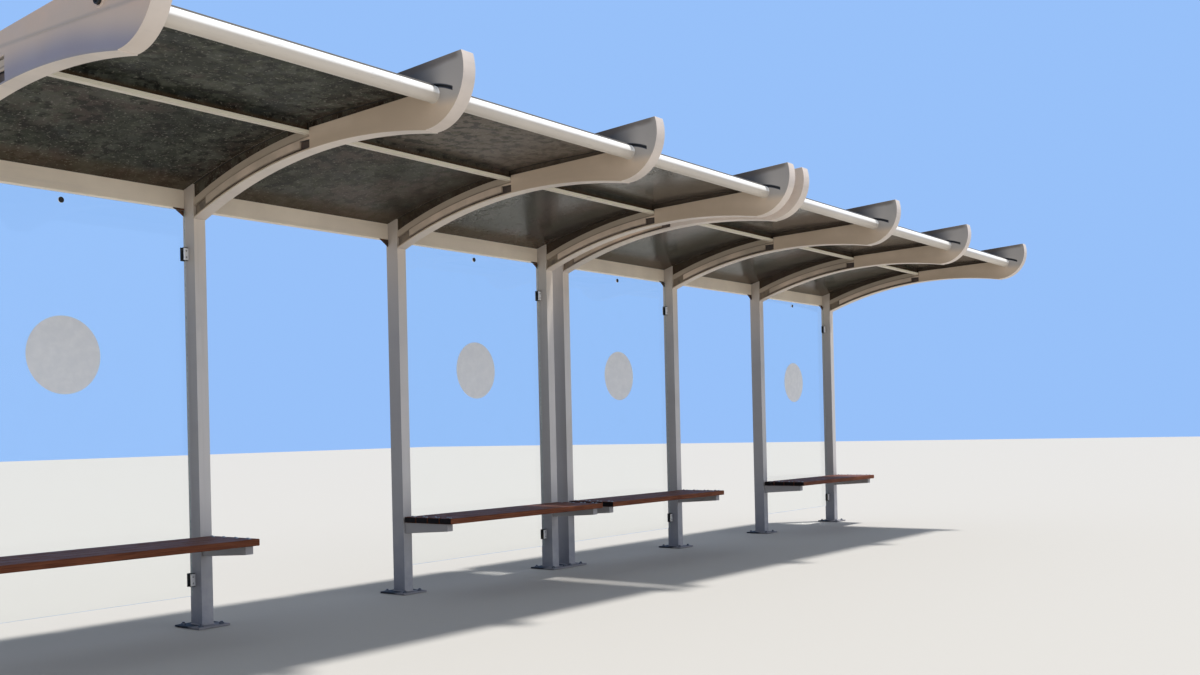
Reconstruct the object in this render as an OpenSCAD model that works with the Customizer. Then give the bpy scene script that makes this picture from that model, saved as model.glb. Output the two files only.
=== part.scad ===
// Bus shelter: a cantilever roof on a row of box posts, in groups of three bays.
// X runs along the shelter, -Y is the street side under the roof, Z is up.
// The origin is the middle of the underside of the first post's base plate.

/* [Layout] */
// distance from one post to the next inside a group
bay = 1500; // [1200:10:1800]

/* [Posts] */
// post width along the shelter
post_w = 72; // [50:1:100]
// post depth towards the street
post_d = 100; // [60:1:150]
// height of the post top over the ground
post_top = 2400; // [2200:1:2600]
// wall of the post tube
post_wall = 4; // [2:0.5:8]

/* [Base plates] */
// base plate width along the shelter; where groups meet, plate stands against plate
plate_x = 196; // [160:1:260]
// base plate depth
plate_y = 220; // [180:1:300]
// base plate thickness
plate_t = 10; // [8:1:20]
// anchor hole distance along the shelter
anchor_x = 130; // [100:1:130]
// anchor hole distance towards the street
anchor_y = 160; // [130:1:165]
// anchor hole diameter
anchor_d = 18; // [10:1:22]

/* [Ribs] */
// width of the flange strip and of the nose box
rib_w = 78; // [74:1:110]
// radius of the arch of the lower edge
arch_r = 3190; // [2800:10:4000]
// reach of the top of that arch in front of the posts
arch_reach = 1217; // [1100:1:1300]
// height of the top of that arch over the post tops
arch_rise = 14; // [-40:1:60]
// radius of the upswept nose
nose_r = 236; // [180:1:300]
// reach of the front of the nose in front of the posts
nose_reach = 2042; // [1950:1:2150]
// height of the tip of the nose over the top of the arch
tip_rise = 260; // [235:1:300]
// depth of the rib from its lower edge to its top edge
rib_depth = 208; // [180:1:230]
// thickness of the flange strip under the rib
flange_t = 8; // [4:1:16]
// thickness of the web between post and nose box
web_t = 44; // [30:1:50]
// length of the nose box
box_len = 1028; // [900:1:1100]
// height of the back end of its plates over the top of the arch
box_back_rise = 98; // [90:1:110]
// slope of their top edge, in degrees
box_slope = 1.6; // [0:0.1:3]
// length over which the nose box has its full height
box_full = 162; // [140:1:180]

/* [Cable hole] */
// diameter of the cable hole in the outer face of an end rib
hole_d = 44; // [20:1:60]
// distance of that hole behind the front of the nose
hole_back = 345; // [300:1:400]
// height of that hole over the top of the arch
hole_rise = 152; // [130:1:165]
// depth of that hole
hole_deep = 12; // [4:1:16]
// width of the ring around it
ring_w = 9; // [4:1:14]
// height of the ring over the face
ring_t = 3; // [1:0.5:8]

/* [Rib channel] */
// lower edge of the channel over the lower edge of the rib
channel_low = 20; // [10:1:40]
// upper edge of the channel
channel_high = 64; // [50:1:80]
// upper edge of the strip above the channel
strip_high = 107; // [90:1:115]
// width over both channels
channel_w = 70; // [62:1:76]
// width over both upper strips
strip_w = 60; // [56:1:70]
// gap between the post and the back end of the channel
channel_back_gap = 108; // [20:1:200]
// gap between the nose box and the front end of the channel and the strip
channel_front_gap = 79; // [20:1:200]
// width over the dark seals between the rib plates and the roof
seal_w = 54; // [50:1:70]

/* [Roof] */
// radius of the back part of the roof sheet
sheet_r = 4720; // [4200:5:5400]
// height of the level part of its underside over the top of the arch
sheet_rise = 135; // [128:1:145]
// distance of the level part in front of the top of the arch
sheet_level = 83; // [0:1:160]
// thickness of the sheet
sheet_t = 8; // [4:1:12]
// distance behind the front of the nose where the sheet begins to bend down
lip_back = 242; // [220:1:300]
// radius of that bend
lip_r = 420; // [380:5:500]
// how far the sheet's front edge reaches past the middle of the front tube
sheet_past = 8; // [2:1:20]
// how far the groove for the sheet runs past the middle of the front tube
groove_past = 115; // [60:1:130]
// depth of that groove in the nose box
groove_deep = 10; // [4:1:14]

/* [Rear beam] */
// place of the beam's front face behind the middle of the posts
beam_y = 32; // [28:1:45]
// depth of the beam
beam_d = 50; // [30:1:80]
// height of the beam
beam_h = 116; // [110:1:140]
// depth of its top under the post tops
beam_drop = 26; // [10:1:30]
// width of a gusset under the beam
gusset_x = 70; // [40:1:120]
// height of a gusset
gusset_z = 46; // [30:1:100]
// thickness of a gusset
gusset_t = 8; // [4:1:16]

/* [Front tube and purlin] */
// outer diameter of the front tube
tube_d = 73; // [50:1:80]
// wall of the front tube
tube_wall = 4; // [2:0.5:8]
// distance of the tube's axis behind the front of the nose
tube_back = 184; // [170:1:200]
// depth of the purlin
purlin_d = 35; // [20:1:60]
// height of the purlin
purlin_h = 18; // [10:1:40]
// height of its top over the top of the arch
purlin_rise = 87; // [80:1:100]
// gap between the back edge of the nose box and the purlin
purlin_gap = 4; // [3:1:10]
// depth of a cleat that carries the purlin on a rib
cleat_d = 75; // [60:1:78]
// height of a cleat
cleat_h = 43; // [20:1:60]
// width over the two cleats of a rib
cleat_w = 72; // [62:1:78]
// width of the dark strip on which the sheet lies over the purlin
rest_w = 16; // [8:1:20]

/* [Glass] */
// thickness of the glass
glass_t = 10; // [6:1:12]
// middle plane of the glass, behind the middle of the posts
glass_y = 22; // [10:1:24]
// gap between the glass and a post
glass_gap = 10; // [2:1:14]
// lower edge of the glass over the ground
glass_low = 165; // [100:1:300]
// gap between the glass and the rear beam
glass_top_gap = 13; // [4:1:40]
// height of the lower clamps over the lower edge of the glass
clamp_up = 90; // [40:1:200]
// depth of the upper clamps under the upper edge of the glass
clamp_down = 237; // [60:1:400]
// height of a clamp
clamp_h = 60; // [30:1:100]
// depth of a clamp
clamp_d = 24; // [20:1:50]
// reach of a clamp from the post
clamp_reach = 28; // [20:1:60]
// diameter of the frosted disc on the glass
disc_d = 388; // [200:1:500]
// height of the middle of the disc
disc_z = 1440; // [1000:1:1800]
// thickness of the disc
disc_t = 1; // [0.5:0.1:3]
// diameter of the fixing near the top of the glass
stud_d = 30; // [20:1:60]
// depth of that fixing under the upper edge of the glass
stud_down = 40; // [30:1:120]
// thickness of that fixing
stud_t = 8; // [3:1:20]

/* [Benches] */
// top of the seat
seat_z = 486; // [420:1:550]
// thickness of a slat
slat_t = 36; // [20:1:50]
// number of slats
slats = 4; // [3:1:6]
// width of a slat
slat_w = 97; // [60:1:130]
// gap between slats
slat_gap = 6; // [3:1:20]
// gap between the post and the first slat
seat_back = 10; // [5:1:60]
// height of the arm under the seat
arm_h = 46; // [30:1:90]
// width of the arm
arm_w = 50; // [30:1:72]
// how far the arm stops short of the seat's front
arm_short = 45; // [0:1:90]

/* [Hidden] */
$fn = 96;
bays = 3;
groups = 2;
group_pitch = bays * bay + plate_x;
front_y = -post_d / 2;
arch_y = -arch_reach;
arch_z = post_top + arch_rise;
arch_cz = arch_z - arch_r;
nose_front = -nose_reach;
nose_y = nose_front + nose_r;
nose_z = arch_cz + sqrt(pow(arch_r + nose_r, 2) - pow(nose_y - arch_y, 2));
meet_y = arch_y + (nose_y - arch_y) * arch_r / (arch_r + nose_r);
tip_z = arch_z + tip_rise;
top_r = arch_r + rib_depth;
tip_far = norm([nose_front - arch_y, tip_z - arch_cz]);
top_turn = atan2(arch_y - nose_front, tip_z - arch_cz) - acos(top_r / tip_far);
top_y = arch_y - top_r * sin(top_turn);
top_z = arch_cz + top_r * cos(top_turn);
box_back_y = nose_front + box_len;
box_full_y = nose_front + box_full;
channel_back_y = front_y - channel_back_gap;
channel_front_y = box_back_y + channel_front_gap;
sheet_y = arch_y - sheet_level;
sheet_z = arch_z + sheet_rise;
lip_y = nose_front + lip_back;
tube_y = nose_front + tube_back;
tube_z = sheet_z - lip_r + sqrt(pow(lip_r - tube_d / 2, 2) - pow(tube_y - lip_y, 2));
beam_high = post_top - beam_drop;
beam_low = beam_high - beam_h;
purlin_y = box_back_y + purlin_gap;
purlin_z = arch_z + purlin_rise;
glass_high = beam_low - glass_top_gap;
seat_d = slats * slat_w + (slats - 1) * slat_gap;
seat_front = front_y - seat_back - seat_d;

function post_x(i) = floor(i / 4) * group_pitch + (i % 4) * bay;
function bay_x(b) = post_x(floor(b / 3) * 4 + b % 3);
function glazed(b) = b % 3 != 1;
function roofed(i, side) = side < 0 ? i % 4 != 0 : i % 4 != 3;
function end_rib(i) = i == 0 || i == 4 * groups - 1;

post_1();
post_2();
post_3();
post_4();
post_5();
post_6();
post_7();
post_8();
rib_1();
rib_2();
rib_3();
rib_4();
rib_5();
rib_6();
rib_7();
rib_8();
rib_channels();
roof_seals();
roof_1();
roof_2();
roof_3();
roof_4();
roof_5();
roof_6();
rear_beam_1();
rear_beam_2();
gussets();
front_tube_1();
front_tube_2();
purlin_1();
purlin_2();
glass_1();
glass_2();
glass_3();
glass_4();
glass_clamps();
glass_discs();
seat_1();
seat_2();
seat_3();
seat_4();
seat_arms();

module post_1() { color("Tan") post(0); }
module post_2() { color("Tan") post(1); }
module post_3() { color("Tan") post(2); }
module post_4() { color("Tan") post(3); }
module post_5() { color("Tan") post(4); }
module post_6() { color("Tan") post(5); }
module post_7() { color("Tan") post(6); }
module post_8() { color("Tan") post(7); }
module rib_1() { color("Tan") rib(0); }
module rib_2() { color("Tan") rib(1); }
module rib_3() { color("Tan") rib(2); }
module rib_4() { color("Tan") rib(3); }
module rib_5() { color("Tan") rib(4); }
module rib_6() { color("Tan") rib(5); }
module rib_7() { color("Tan") rib(6); }
module rib_8() { color("Tan") rib(7); }
module roof_1() { color("DimGray") roof(0); }
module roof_2() { color("DimGray") roof(1); }
module roof_3() { color("DimGray") roof(2); }
module roof_4() { color("DimGray") roof(3); }
module roof_5() { color("DimGray") roof(4); }
module roof_6() { color("DimGray") roof(5); }
module rear_beam_1() { color("Tan") rear_beam(0); }
module rear_beam_2() { color("Tan") rear_beam(1); }
module front_tube_1() { color("Wheat") front_tube(0); }
module front_tube_2() { color("Wheat") front_tube(1); }
module purlin_1() { color("Wheat") purlin(0); }
module purlin_2() { color("Wheat") purlin(1); }
module glass_1() { color("LightBlue", 0.4) glass(0); }
module glass_2() { color("LightBlue", 0.4) glass(2); }
module glass_3() { color("LightBlue", 0.4) glass(3); }
module glass_4() { color("LightBlue", 0.4) glass(5); }
module seat_1() { color("SaddleBrown") seat(0); }
module seat_2() { color("SaddleBrown") seat(2); }
module seat_3() { color("SaddleBrown") seat(3); }
module seat_4() { color("SaddleBrown") seat(5); }

// A box post welded to a base plate with four anchor holes.
module post(i) {
    translate([post_x(i), 0, 0]) {
        difference() {
            translate([-plate_x / 2, -plate_y / 2, 0]) cube([plate_x, plate_y, plate_t]);
            for (sx = [-1, 1])
                for (sy = [-1, 1])
                    translate([sx * anchor_x / 2, sy * anchor_y / 2, -1])
                        cylinder(d = anchor_d, h = plate_t + 2);
        }
        difference() {
            translate([-post_w / 2, -post_d / 2, plate_t - 1])
                cube([post_w, post_d, post_top - plate_t + 1]);
            translate([-post_w / 2 + post_wall, -post_d / 2 + post_wall, plate_t])
                cube([post_w - 2 * post_wall, post_d - 2 * post_wall, post_top - plate_t - post_wall]);
        }
    }
}

// Draws a shape of the side view, with Y across and Z up, as a plate that runs
// along X from low to high.
module slab(low, high) {
    translate([high, 0, 0])
        rotate([90, 0, -90])
            linear_extrude(height = high - low) mirror([1, 0]) children();
}

// The same shape on both sides of rib i, between two widths.
module side_pair(i, inner, outer) {
    for (s = [-1, 1])
        translate([post_x(i) + s * (inner + outer) / 4, 0, 0])
            slab(-(outer - inner) / 4, (outer - inner) / 4) children();
}

module arch_disc(up) {
    translate([arch_y, arch_cz]) circle(r = arch_r + up, $fn = 720);
}

// All that lies between two places, over the full height of the roof.
module between(front, back) {
    translate([front, arch_cz]) square([back - front, arch_r + tip_rise + 100]);
}

// All that lies above the lower edge of the rib, with that edge raised by up.
// The edge is a large circle from the post, then a small one that touches it
// and turns up round the nose.
module above_edge(up) {
    difference() {
        between(meet_y, front_y);
        arch_disc(up);
    }
    intersection() {
        between(nose_front, meet_y);
        union() {
            translate([nose_y, nose_z]) circle(r = nose_r - up, $fn = 240);
            translate([nose_y, nose_z]) square([meet_y - nose_y, tip_z - nose_z + 1]);
            difference() {
                between(nose_y, meet_y + 1);
                arch_disc(up);
            }
        }
    }
}

// All that lies below the top edge: a straight line from the tip that touches
// the upper arch, then that arch.
module below_top() {
    polygon([[nose_front, tip_z], [top_y, top_z], [top_y, arch_cz], [nose_front, arch_cz]]);
    intersection() {
        arch_disc(rib_depth);
        between(top_y, front_y);
    }
}

module rib_side() {
    intersection() {
        above_edge(0);
        below_top();
    }
}

// All that lies under the roof sheet when it is raised by up. The sheet is an
// arch at the back, level over the middle and bends down over the front tube.
module under_sheet(up) {
    intersection() {
        translate([sheet_y, sheet_z - sheet_r]) circle(r = sheet_r + up, $fn = 720);
        between(sheet_y, beam_y + beam_d);
    }
    translate([lip_y, arch_cz]) square([sheet_y - lip_y, sheet_z - arch_cz + up]);
    translate([lip_y - lip_r, arch_cz]) square([lip_r, sheet_z - lip_r - arch_cz]);
    intersection() {
        translate([lip_y, sheet_z - lip_r]) circle(r = lip_r + up, $fn = 240);
        between(lip_y - lip_r, lip_y);
    }
}

// The band that the sheet fills, between two places.
module sheet_band(front, back) {
    difference() {
        intersection() {
            under_sheet(sheet_t);
            between(front, back);
        }
        under_sheet(0);
    }
}

// All that lies under the top edge of the plates of the nose box.
module under_box_top() {
    translate([box_back_y, arch_z + box_back_rise]) rotate(-box_slope)
        translate([-box_len - 20, -arch_r]) square([box_len + 120, arch_r]);
}

// One side plate of a rib. Under a roof sheet it stops at the top edge of the
// nose box, goes on as a fin above the sheet, and has a groove into which the
// sheet's side edge can be slid. A side without a roof sheet is closed.
module side_plate(under_roof) {
    intersection() {
        rib_side();
        union() {
            between(nose_front, box_full_y);
            intersection() {
                between(box_full_y - 1, box_back_y);
                if (under_roof)
                    under_box_top();
                else
                    between(box_full_y - 1, box_back_y);
            }
        }
    }
    difference() {
        rib_side();
        if (under_roof)
            under_sheet(0);
        else
            arch_disc(strip_high);
    }
}

// The web stands on the flange, between the two side plates.
module rib(i) {
    outer = i == 0 ? -1 : 1;
    translate([post_x(i), 0, 0]) difference() {
        union() {
            slab(-web_t / 2, web_t / 2) rib_side();
            slab(-rib_w / 2, rib_w / 2) difference() {
                rib_side();
                above_edge(flange_t);
            }
            slab(-rib_w / 2, -web_t / 2 + 1) side_plate(roofed(i, -1));
            slab(web_t / 2 - 1, rib_w / 2) side_plate(roofed(i, 1));
            if (end_rib(i))
                translate([outer * (rib_w / 2 - 1), nose_front + hole_back, arch_z + hole_rise])
                    rotate([0, outer * 90, 0]) cylinder(d = hole_d + 2 * ring_w, h = ring_t + 1);
        }
        if (end_rib(i))
            translate([outer * (rib_w / 2 - hole_deep), nose_front + hole_back, arch_z + hole_rise])
                rotate([0, outer * 90, 0]) cylinder(d = hole_d, h = hole_deep + ring_t + 1);
        for (side = [-1, 1])
            if (roofed(i, side))
                translate([side * rib_w / 2, 0, 0])
                    slab(-groove_deep, groove_deep) sheet_band(tube_y - groove_past, tube_y);
    }
}

// A band between two heights over the arch.
module arch_band(low, high, front, back) {
    intersection() {
        difference() {
            arch_disc(high);
            arch_disc(low);
        }
        between(front, back);
    }
}

module rib_channels() {
    color("Tan")
        for (i = [0:7]) {
            side_pair(i, web_t, channel_w)
                arch_band(channel_low, channel_high, channel_front_y, channel_back_y);
            side_pair(i, web_t, strip_w)
                arch_band(channel_high, strip_high, channel_front_y, front_y);
        }
}

// The dark seals stand back in the gap between the rib plates and the roof.
module roof_seals() {
    color("DimGray")
        for (i = [0:7])
            for (side = [-1, 1])
                if (roofed(i, side))
                    translate([post_x(i) + side * (web_t + seal_w) / 4, 0, 0])
                        slab(-(seal_w - web_t) / 4, (seal_w - web_t) / 4) seal_side();
    color("DimGray")
        for (b = [0:5])
            sheet_rest(b);
}

module seal_side() {
    difference() {
        intersection() {
            under_sheet(0);
            between(box_full_y, front_y);
        }
        arch_disc(strip_high);
        intersection() {
            under_box_top();
            between(box_full_y - 1, box_back_y);
        }
    }
}

// The strip on which a roof sheet lies over the purlin.
module sheet_rest(b) {
    translate([bay_x(b), 0, 0])
        slab(cleat_w / 2, bay - cleat_w / 2) intersection() {
            under_sheet(0);
            translate([purlin_y + (purlin_d - rest_w) / 2, purlin_z])
                square([rest_w, sheet_rise]);
        }
}

module roof(b) {
    translate([bay_x(b), 0, 0])
        slab(rib_w / 2, bay - rib_w / 2) sheet_band(tube_y - sheet_past, beam_y);
}

module rear_beam(g) {
    for (k = [0:bays - 1])
        translate([g * group_pitch + k * bay + post_w / 2, beam_y, beam_low])
            cube([bay - post_w, beam_d, beam_h]);
}

module gussets() {
    color("Tan")
        for (b = [0:5])
            for (s = [0, 1])
                translate([bay_x(b) + bay / 2, beam_y, beam_low]) mirror([s, 0, 0])
                    translate([-bay / 2 + post_w / 2, gusset_t, 0]) rotate([90, 0, 0])
                        linear_extrude(height = gusset_t)
                            polygon([[0, 0], [gusset_x, 0], [0, -gusset_z]]);
}

module front_tube(g) {
    for (k = [0:bays - 1])
        translate([g * group_pitch + k * bay + rib_w / 2, tube_y, tube_z])
            rotate([0, 90, 0]) difference() {
                cylinder(d = tube_d, h = bay - rib_w);
                translate([0, 0, -1]) cylinder(d = tube_d - 2 * tube_wall, h = bay - rib_w + 2);
            }
}

// The purlin runs from cleat to cleat, and each rib has a cleat on both sides.
module purlin(g) {
    for (k = [0:bays - 1])
        translate([g * group_pitch + k * bay + cleat_w / 2, purlin_y, purlin_z - purlin_h])
            cube([bay - cleat_w, purlin_d, purlin_h]);
    for (k = [0:bays])
        for (s = [0, 1])
            translate([g * group_pitch + k * bay, purlin_y - 2, purlin_z - cleat_h])
                mirror([s, 0, 0]) translate([web_t / 2, 0, 0])
                    cube([(cleat_w - web_t) / 2, cleat_d, cleat_h]);
}

module glass(b) {
    translate([bay_x(b) + post_w / 2 + glass_gap, glass_y - glass_t / 2, glass_low])
        cube([bay - post_w - 2 * glass_gap, glass_t, glass_high - glass_low]);
}

// Each clamp is a block on the post with a slot for the glass.
module glass_clamps() {
    color("White")
        for (b = [0:5])
            if (glazed(b)) {
                for (s = [0, 1])
                    for (z = [glass_low + clamp_up, glass_high - clamp_down])
                        translate([bay_x(b) + bay / 2, glass_y, z]) mirror([s, 0, 0])
                            translate([-bay / 2 + post_w / 2, 0, 0]) clamp();
                translate([bay_x(b) + bay / 2, glass_y - glass_t / 2, glass_high - stud_down])
                    rotate([90, 0, 0]) cylinder(d = stud_d, h = stud_t);
            }
}

module clamp() {
    difference() {
        translate([0, -clamp_d / 2, -clamp_h / 2]) cube([clamp_reach, clamp_d, clamp_h]);
        translate([glass_gap, -glass_t / 2, -clamp_h / 2 - 1])
            cube([clamp_reach, glass_t, clamp_h + 2]);
    }
}

module glass_discs() {
    color("White")
        for (b = [0:5])
            if (glazed(b))
                translate([bay_x(b) + bay / 2, glass_y - glass_t / 2, disc_z])
                    rotate([90, 0, 0]) cylinder(d = disc_d, h = disc_t, $fn = 120);
}

module seat(b) {
    for (k = [0:slats - 1])
        translate([bay_x(b) - post_w / 2, seat_front + k * (slat_w + slat_gap), seat_z - slat_t])
            cube([bay + post_w, slat_w, slat_t]);
}

module seat_arms() {
    color("Gray")
        for (b = [0:5])
            if (glazed(b))
                for (e = [0, 1])
                    translate([bay_x(b) + e * bay - arm_w / 2, seat_front + arm_short, seat_z - slat_t - arm_h])
                        cube([arm_w, seat_d + seat_back - arm_short, arm_h]);
}
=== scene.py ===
# %% [markdown]
# # Dressing a cantilever bus shelter
# The construction is finished before this lesson starts: posts, curved ribs, roof sheets, glass
# and benches come from the frame at their real size. Here each piece gets rounded edges, fixings,
# seams and a finish. All lengths are metres, X runs along the shelter, -Y is the street side.

# %% Load the frame
import math
import bpy
from mathutils import Matrix, Vector


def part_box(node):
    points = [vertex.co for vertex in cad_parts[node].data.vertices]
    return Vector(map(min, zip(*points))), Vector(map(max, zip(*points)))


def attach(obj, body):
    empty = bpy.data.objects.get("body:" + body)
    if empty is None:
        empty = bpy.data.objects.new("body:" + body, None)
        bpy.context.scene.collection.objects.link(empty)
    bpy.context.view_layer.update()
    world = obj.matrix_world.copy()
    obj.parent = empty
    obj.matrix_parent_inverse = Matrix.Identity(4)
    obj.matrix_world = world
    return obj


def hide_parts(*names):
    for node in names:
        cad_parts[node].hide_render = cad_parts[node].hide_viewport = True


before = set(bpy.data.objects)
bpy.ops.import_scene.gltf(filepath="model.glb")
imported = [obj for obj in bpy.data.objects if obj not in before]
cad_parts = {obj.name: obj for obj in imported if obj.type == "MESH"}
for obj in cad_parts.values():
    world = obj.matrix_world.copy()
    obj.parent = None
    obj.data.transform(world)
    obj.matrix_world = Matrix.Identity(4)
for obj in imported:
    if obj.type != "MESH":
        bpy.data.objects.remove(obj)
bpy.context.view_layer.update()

# %% [markdown]
# ## Camera
# The photograph was taken from the street side, close to the near end, at about chest height.
# A camera needs three things: where it stands, how it is turned, and how wide it sees. The turn
# is built as a product of three plain rotations: up from the floor, round to the right, and a
# small roll. A small shift of the sensor stands for the way the picture was cropped.

# %% Place the camera
PICTURE = (1200, 675)
FOCAL_PX = 1187.0
OPTICAL_AXIS_PX = (560.4, 424.9)
CAMERA_PLACE = Vector((-2.316, -5.528, 1.010))
CAMERA_YAW = math.radians(51.58)
CAMERA_PITCH = 0.005
CAMERA_ROLL = -0.0228


def add_camera():
    bpy.ops.object.camera_add()
    camera = bpy.context.object
    camera.name = "street_camera"
    camera.data.sensor_width = 36.0
    camera.data.lens = camera.data.sensor_width * FOCAL_PX / PICTURE[0]
    camera.data.shift_x = (PICTURE[0] / 2 - OPTICAL_AXIS_PX[0]) / PICTURE[0]
    camera.data.shift_y = (OPTICAL_AXIS_PX[1] - PICTURE[1] / 2) / PICTURE[0]
    camera.data.clip_start, camera.data.clip_end = 0.05, 200.0
    turn = Matrix.Rotation(-CAMERA_YAW, 4, "Z")
    turn = turn @ Matrix.Rotation(math.pi / 2 + CAMERA_PITCH, 4, "X")
    turn = turn @ Matrix.Rotation(CAMERA_ROLL, 4, "Z")
    camera.matrix_world = Matrix.Translation(CAMERA_PLACE) @ turn
    bpy.context.scene.camera = camera
    return camera


camera = add_camera()
print("lens", round(camera.data.lens, 2), "mm")

# %% [markdown]
# ## Tools for nodes
# A finish is a small machine of nodes, and so is the sky. These helpers keep each machine short:
# one makes a material, one writes a value or makes a link, and the others add a sum, a ramp, a
# blend of two colours or a noise. A socket knows the tree it belongs to, so a helper puts its
# node there. Every pattern reads Object coordinates. All objects sit at the origin, so they are
# true metres in the shelter's own frame, and a pattern has the same scale everywhere.

# %% Helpers for nodes


MATERIALS = {}


def make(key, name, recipe, *colours):
    """Makes a material and keeps it under a short key. The recipe sets its shader's inputs."""
    material = bpy.data.materials.new(name)
    material.use_nodes = True
    nodes = material.node_tree.nodes
    place = nodes.new("ShaderNodeTexCoord").outputs["Object"]
    recipe(nodes["Principled BSDF"].inputs, place, *colours)
    MATERIALS[key] = material
    print("made", name)


def is_socket(value):
    return isinstance(value, bpy.types.NodeSocket)


def new_node(kind, *values):
    """A node in the tree of the first socket among the values."""
    tree = next(value.id_data for value in values if is_socket(value))
    return tree.nodes.new(kind)


def plug(source, socket):
    """Links a socket to another one, or writes a plain number, vector or colour on it."""
    if is_socket(source):
        socket.id_data.links.new(source, socket)
    elif socket.type == "RGBA":
        socket.default_value = (*source, 1)
    else:
        socket.default_value = source


def maths(operation, *values):
    node = new_node("ShaderNodeMath", *values)
    node.operation = operation
    for value, socket in zip(values, node.inputs):
        plug(value, socket)
    return node.outputs[0]


def plus(first, second):
    return maths("ADD", first, second)


def minus(first, second):
    return maths("SUBTRACT", first, second)


def times(first, second):
    return maths("MULTIPLY", first, second)


def larger(first, second):
    return maths("MAXIMUM", first, second)


def unsigned(value):
    return maths("ABSOLUTE", value)


def ramp(value, low, high):
    """0 below low, 1 above high, and a smooth step between. Low may be the larger one."""
    node = new_node("ShaderNodeMapRange", value)
    node.interpolation_type = "SMOOTHSTEP"
    plug(value, node.inputs["Value"])
    plug(low, node.inputs["From Min"])
    plug(high, node.inputs["From Max"])
    return node.outputs[0]


def blend(mask, under, over):
    node = new_node("ShaderNodeMix", mask)
    node.data_type = "RGBA"
    plug(mask, node.inputs[0])
    plug(under, node.inputs[6])
    plug(over, node.inputs[7])
    return node.outputs[2]


def axes(vector):
    node = new_node("ShaderNodeSeparateXYZ", vector)
    plug(vector, node.inputs[0])
    return node.outputs


def noise(vector, scale, detail=3.0, roughness=0.5):
    node = new_node("ShaderNodeTexNoise", vector)
    plug(vector, node.inputs["Vector"])
    plug(scale, node.inputs["Scale"])
    node.inputs["Detail"].default_value = detail
    node.inputs["Roughness"].default_value = roughness
    return node.outputs[0]


def facing(place):
    """The three parts of the direction that a face looks in."""
    return axes(new_node("ShaderNodeNewGeometry", place).outputs["Normal"])


print("node helpers ready")

# %% [markdown]
# ## Light and floor
# The day in the picture is bright, with a high sun over the street side and a clear sky. One
# soft sun and an even world do the same job, and a second, very wide lamp stands for the bright
# street in front. The floor is plain and pale. The world is a plain sky blue to the camera, to
# mirrors and through glass, and a softer white light to the rest.

# %% Add the lamps, the world and the floor
TO_SUN, SUN_STRENGTH, SUN_COLOUR = Vector((0.215, -0.197, 0.956)), 4.0, (1.0, 0.97, 0.92)
TO_STREET, STREET_STRENGTH, STREET_COLOUR = Vector((0.10, -0.97, 0.22)), 0.95, (0.88, 0.92, 1.0)
SKY_LIGHT = (0.86, 0.92, 1.0)
SKY_STRENGTH = 0.40
BACKDROP = (0.31, 0.53, 0.95)
FLOOR_COLOUR = (0.50, 0.485, 0.46)


def add_sun(name, direction, strength, colour, width):
    bpy.ops.object.light_add(type="SUN")
    sun = bpy.context.object
    sun.name = name
    sun.data.energy = strength
    sun.data.angle = math.radians(width)
    sun.data.color = colour
    sun.rotation_euler = direction.to_track_quat("Z", "Y").to_euler()
    return sun


def light_world():
    """Plain blue for the camera, for reflections and through glass, and soft white for the rest."""
    world = bpy.data.worlds.new("plain_sky")
    bpy.context.scene.world = world
    world.use_nodes = True
    nodes = world.node_tree.nodes
    nodes.clear()
    path = nodes.new("ShaderNodeLightPath").outputs
    seen = larger(larger(path["Is Camera Ray"], path["Is Glossy Ray"]), path["Is Transmission Ray"])
    light, backdrop = nodes.new("ShaderNodeBackground"), nodes.new("ShaderNodeBackground")
    plug(SKY_LIGHT, light.inputs["Color"])
    plug(SKY_STRENGTH, light.inputs["Strength"])
    plug(BACKDROP, backdrop.inputs["Color"])
    mix = nodes.new("ShaderNodeMixShader")
    plug(seen, mix.inputs[0])
    plug(light.outputs[0], mix.inputs[1])
    plug(backdrop.outputs[0], mix.inputs[2])
    plug(mix.outputs[0], nodes.new("ShaderNodeOutputWorld").inputs["Surface"])


def floor_finish(shader, place):
    plug(FLOOR_COLOUR, shader["Base Color"])
    shader["Roughness"].default_value = 0.9


def add_floor():
    bpy.ops.mesh.primitive_plane_add(size=120, location=(4, 0, -0.002))
    floor = bpy.context.object
    floor.name = "studio_floor"
    make("floor", "studio_floor", floor_finish)
    floor.data.materials.append(MATERIALS["floor"])


add_sun("soft_sun", TO_SUN, SUN_STRENGTH, SUN_COLOUR, 4)
add_sun("street_light", TO_STREET, STREET_STRENGTH, STREET_COLOUR, 70)
light_world()
add_floor()
bpy.context.scene.view_settings.view_transform = "Standard"
print("stage is lit")

# %% [markdown]
# ## Shared effects
# Weather leaves the same marks on every part: pale and dark blotches, streaks along the way the
# water runs, and dust on what faces the sky. Sprayed paint has a faint orange peel. Each effect
# is a node group with named inputs, built once and placed in many materials. A group gives out
# only a mask or a normal, so each material decides what the mark does to its own colour.

# %% Build the effect groups


def start_group(name, inputs, output, output_kind="NodeSocketFloat"):
    group = bpy.data.node_groups.new(name, "ShaderNodeTree")
    for label, kind, value in inputs:
        socket = group.interface.new_socket(label, in_out="INPUT", socket_type=kind)
        if value is not None:
            socket.default_value = value
    group.interface.new_socket(output, in_out="OUTPUT", socket_type=output_kind)
    start = group.nodes.new("NodeGroupInput")
    end = group.nodes.new("NodeGroupOutput")
    return group, start.outputs, end.inputs


VECTOR, NUMBER = "NodeSocketVector", "NodeSocketFloat"


def blotches_group():
    inputs = [("Vector", VECTOR, None), ("Scale", NUMBER, 1.0),
              ("Low", NUMBER, 0.4), ("High", NUMBER, 0.6)]
    group, start, end = start_group("blotches", inputs, "Mask")
    cloud = noise(start["Vector"], start["Scale"], detail=6.0, roughness=0.58)
    plug(ramp(cloud, start["Low"], start["High"]), end["Mask"])
    return group


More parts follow.
